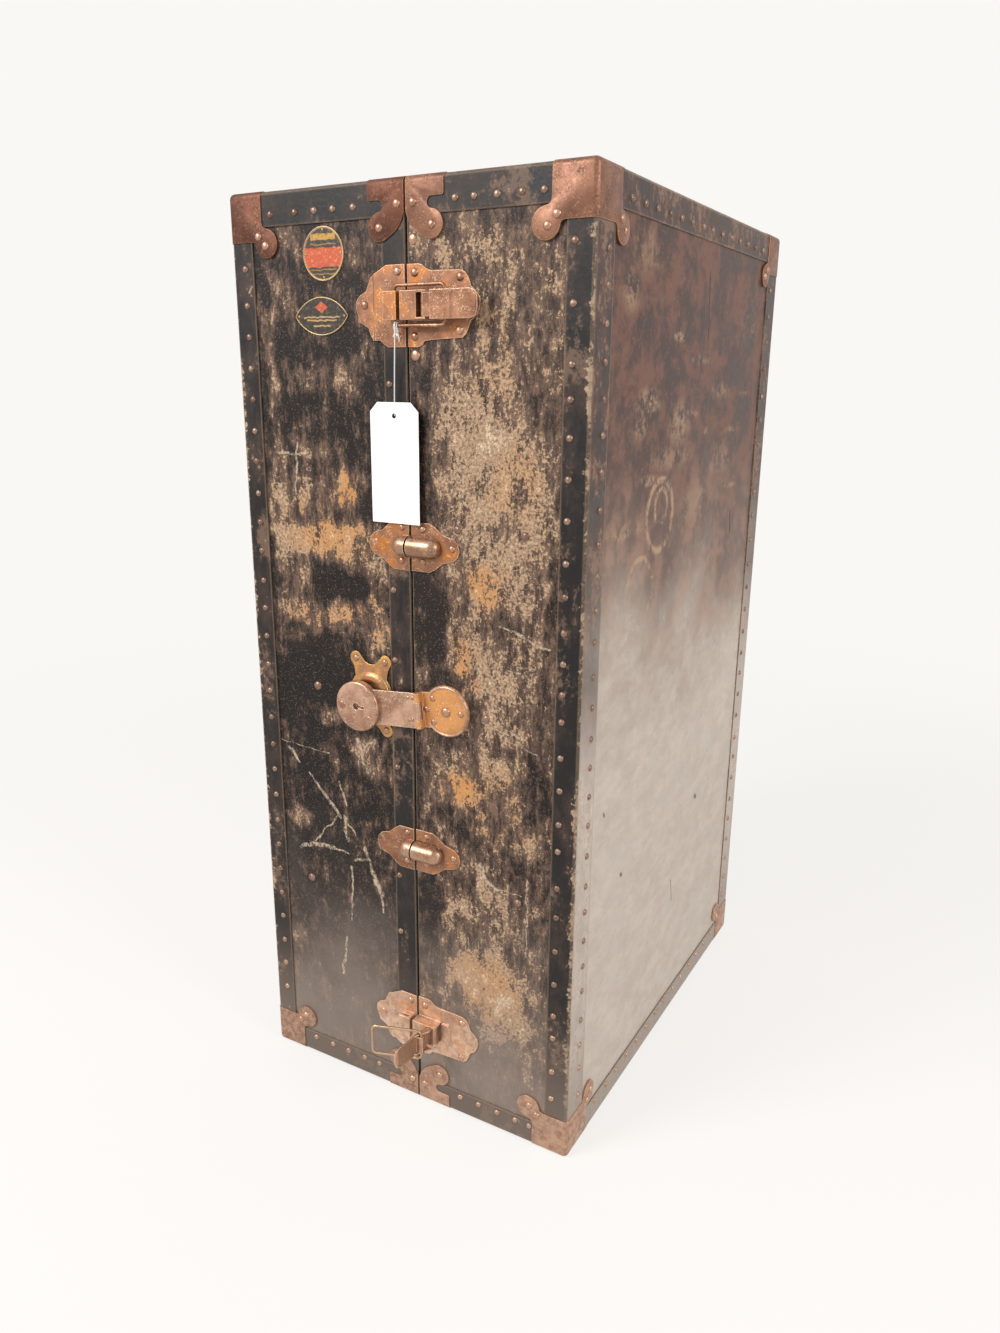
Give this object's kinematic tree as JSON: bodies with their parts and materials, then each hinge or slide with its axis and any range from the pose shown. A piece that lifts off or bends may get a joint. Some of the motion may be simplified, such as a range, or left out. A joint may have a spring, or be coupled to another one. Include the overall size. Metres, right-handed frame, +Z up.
{
  "type": "wardrobe trunk",
  "caption": "Upright wardrobe trunk in two hinged halves, with toggle latches, hasp lock, sliding drawers and a hanger trolley inside.",
  "frame": {"origin": "on the floor under the middle of the closed case", "axes": "+Z up; -Y towards the front with the latches and lock; +X towards the right half, across the seam"},
  "size_m": [0.4194, 0.6461, 1.0523],
  "materials": {
    "side_fibre": "plywood side faced with brown-black fibre, semi-gloss, worn thin, faint stains",
    "case_fibre": "plywood faced with black fibre, scuffed to brown and tan in patches",
    "binding_fibre": "black vulcanised fibre edge binding, scuffed, nailed",
    "lining_paper": "aged paper lining glued to the boards",
    "dark_steel": "dark oiled steel strip along the meeting edges",
    "coppered_cap": "pressed steel with worn copper plating, brown patina, bright edges",
    "coppered_steel": "pressed steel fitting with worn copper plating and orange rust",
    "old_brass": "brass, brown patina, rubbed bright on raised edges",
    "bright_wire": "brassed steel wire, rubbed bright",
    "badge_enamel": "thin painted metal plate with a brass border, blank",
    "tag_card": "plain white card, blank",
    "tag_string": "white cotton string",
    "drawer_wood": "thin plywood, clear finish",
    "drawer_cloth": "boarded drawer front covered in brown cloth with a leather tab",
    "hanger_wood": "varnished beech",
    "handle_leather": "stitched brown leather strap",
    "nickel_steel": "dull nickel-plated steel"
  },
  "bodies": {
    "right_half": {"right_side_panel": "side_fibre", "right_front_panel": "case_fibre", "right_back_panel": "case_fibre", "right_top_panel": "case_fibre", "right_bottom_panel": "case_fibre", "right_lining": "lining_paper", "right_seam_rim": "dark_steel", "right_bindings": "binding_fibre", "right_corner_caps": "coppered_cap", "right_seam_caps": "coppered_cap", "right_hinge_leaves": "coppered_steel", "hinge_pins": "coppered_steel", "latch_plates": "coppered_steel", "latch_lever_pins": "coppered_steel", "dowel_pins": "coppered_steel", "hasp_anchor": "coppered_steel", "hasp_pin": "coppered_steel", "drawer_runners": "drawer_wood", "drawer_shelf": "lining_paper"},
    "left_half": {"left_side_panel": "side_fibre", "left_front_panel": "case_fibre", "left_back_panel": "case_fibre", "left_top_panel": "case_fibre", "left_bottom_panel": "case_fibre", "left_lining": "lining_paper", "left_seam_rim": "dark_steel", "left_bindings": "binding_fibre", "left_corner_caps": "coppered_cap", "left_seam_caps": "coppered_cap", "left_hinge_leaves": "coppered_steel", "seam_tongue": "dark_steel", "latch_catches": "coppered_steel", "dowel_sockets": "coppered_steel", "lock_plate": "old_brass", "badge_plates": "badge_enamel", "trolley_rails": "nickel_steel", "handle_loops": "coppered_steel", "carry_handle": "handle_leather"},
    "upper_lever": {"upper_lever": "coppered_steel"},
    "upper_bail": {"upper_bail": "bright_wire", "tag_string": "tag_string", "hang_tag": "tag_card"},
    "lower_lever": {"lower_lever": "coppered_steel"},
    "lower_bail": {"lower_bail": "bright_wire"},
    "hasp": {"hasp_arm": "coppered_steel", "lock_case": "old_brass"},
    "trolley": {"trolley_frame": "nickel_steel", "hanger_rod": "nickel_steel", "hangers": "hanger_wood"},
    "drawer_1": {"drawer_1_tray": "drawer_wood", "drawer_1_front": "drawer_cloth"},
    "drawer_2": {"drawer_2_tray": "drawer_wood", "drawer_2_front": "drawer_cloth"},
    "drawer_3": {"drawer_3_tray": "drawer_wood", "drawer_3_front": "drawer_cloth"},
    "drawer_4": {"drawer_4_tray": "drawer_wood", "drawer_4_front": "drawer_cloth"}
  },
  "joints": [
    {"name": "case_hinge", "type": "hinge", "parent": "right_half", "child": "left_half", "pos_m": [0.01175, 0.288, 0.508], "axis": [0, 0, -1], "range_deg": [0, 115]},
    {"name": "upper_latch_turn", "type": "hinge", "parent": "right_half", "child": "upper_lever", "pos_m": [0.03925, -0.2946, 0.902], "axis": [0, 0, -1], "range_deg": [0, 105]},
    {"name": "upper_bail_turn", "type": "hinge", "parent": "upper_lever", "child": "upper_bail", "pos_m": [0.06125, -0.2941, 0.902], "axis": [0, 0, -1], "range_deg": [-126, 0]},
    {"name": "lower_latch_turn", "type": "hinge", "parent": "right_half", "child": "lower_lever", "pos_m": [0.03925, -0.2946, 0.1035], "axis": [0, 0, -1], "range_deg": [-97, 8]},
    {"name": "lower_bail_turn", "type": "hinge", "parent": "lower_lever", "child": "lower_bail", "pos_m": [0.03707, -0.3165, 0.1035], "axis": [0, 0, -1], "range_deg": [-9.6, 116.4]},
    {"name": "hasp_turn", "type": "hinge", "parent": "right_half", "child": "hasp", "pos_m": [0.02278, -0.2925, 0.49758], "axis": [-0.0924, 0, 0.9957], "range_deg": [0, 150]},
    {"name": "trolley_slide", "type": "slide", "parent": "left_half", "child": "trolley", "axis": [1, 0, 0], "range_m": [0, 0.15]},
    {"name": "drawer_1_slide", "type": "slide", "parent": "right_half", "child": "drawer_1", "axis": [-1, 0, 0], "range_m": [0, 0.15]},
    {"name": "drawer_2_slide", "type": "slide", "parent": "right_half", "child": "drawer_2", "axis": [-1, 0, 0], "range_m": [0, 0.15]},
    {"name": "drawer_3_slide", "type": "slide", "parent": "right_half", "child": "drawer_3", "axis": [-1, 0, 0], "range_m": [0, 0.15]},
    {"name": "drawer_4_slide", "type": "slide", "parent": "right_half", "child": "drawer_4", "axis": [-1, 0, 0], "range_m": [0, 0.15]}
  ],
  "couplings": [
    {"joint": "upper_bail_turn", "follows": "upper_latch_turn", "ratio": -1.2},
    {"joint": "lower_bail_turn", "follows": "lower_latch_turn", "ratio": -1.2}
  ]
}
